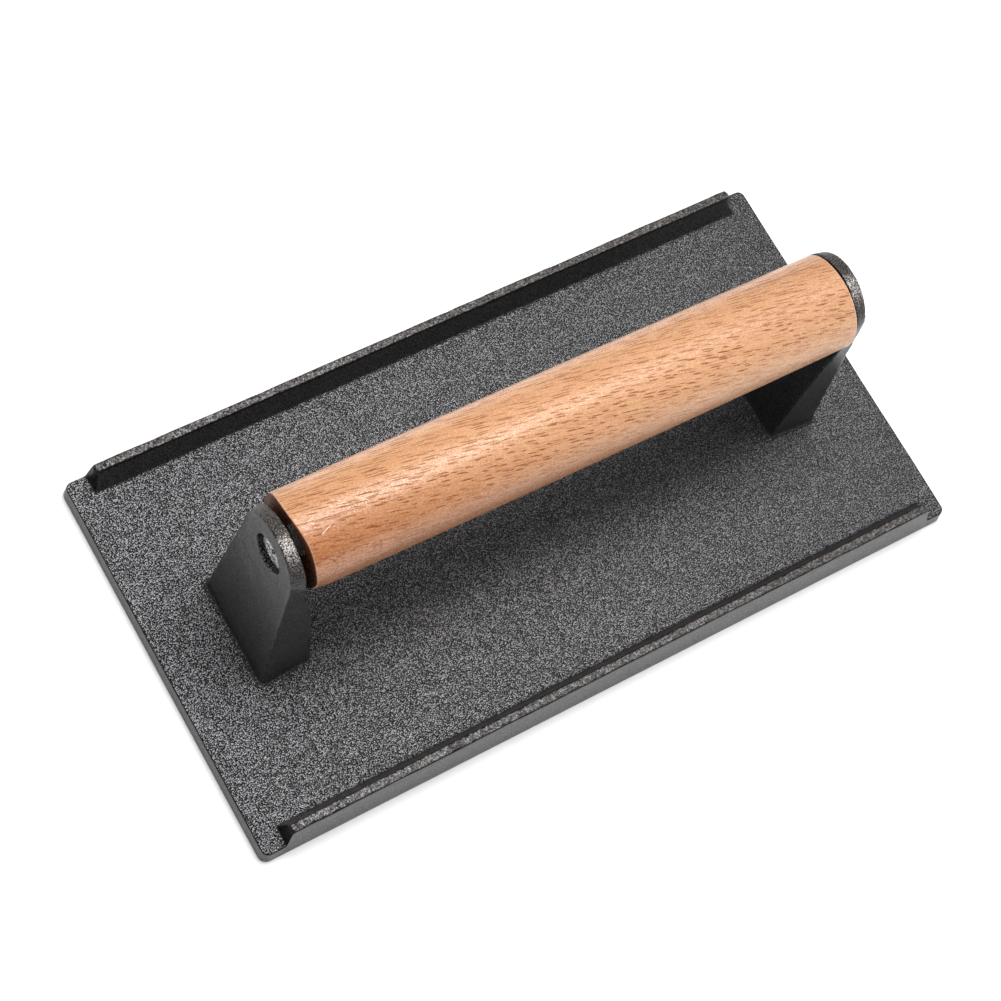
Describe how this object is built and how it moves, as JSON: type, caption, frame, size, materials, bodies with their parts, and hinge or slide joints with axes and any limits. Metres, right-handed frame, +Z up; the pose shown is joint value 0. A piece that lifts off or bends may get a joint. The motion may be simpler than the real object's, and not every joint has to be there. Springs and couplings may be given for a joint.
{
  "type": "patty press",
  "caption": "Hand-held cast-iron patty press: flat rectangular plate with a raised lip along each long side, posts at the ends and a turned wooden grip that spins on a steel rod.",
  "frame": {"origin": "centre of the plate's flat underside", "axes": "+X along the grip and the plate's long side, +Y across the plate, +Z up out of the plate"},
  "size_m": [0.2104, 0.1084, 0.0714],
  "materials": {
    "cast_iron": "rough sand-cast, seasoned black, ground bare on the crowns of the posts",
    "beech": "turned and oiled, low sheen, short dark ray flecks along the grain",
    "rod_steel": "turned bright mild steel",
    "washer_steel": "blackened",
    "screw_steel": "zinc plated, scuffed by the driver"
  },
  "bodies": {
    "press_frame": {"press_casting": "cast_iron", "handle_rod": "rod_steel", "washer_left": "washer_steel", "washer_right": "washer_steel", "screw_left": "screw_steel", "screw_right": "screw_steel"},
    "grip": {"wooden_grip": "beech"}
  },
  "joints": [
    {"name": "grip_spin", "type": "hinge", "parent": "press_frame", "child": "grip", "pos_m": [0, 0, 0.0587], "axis": [1, 0, 0], "continuous": true}
  ]
}
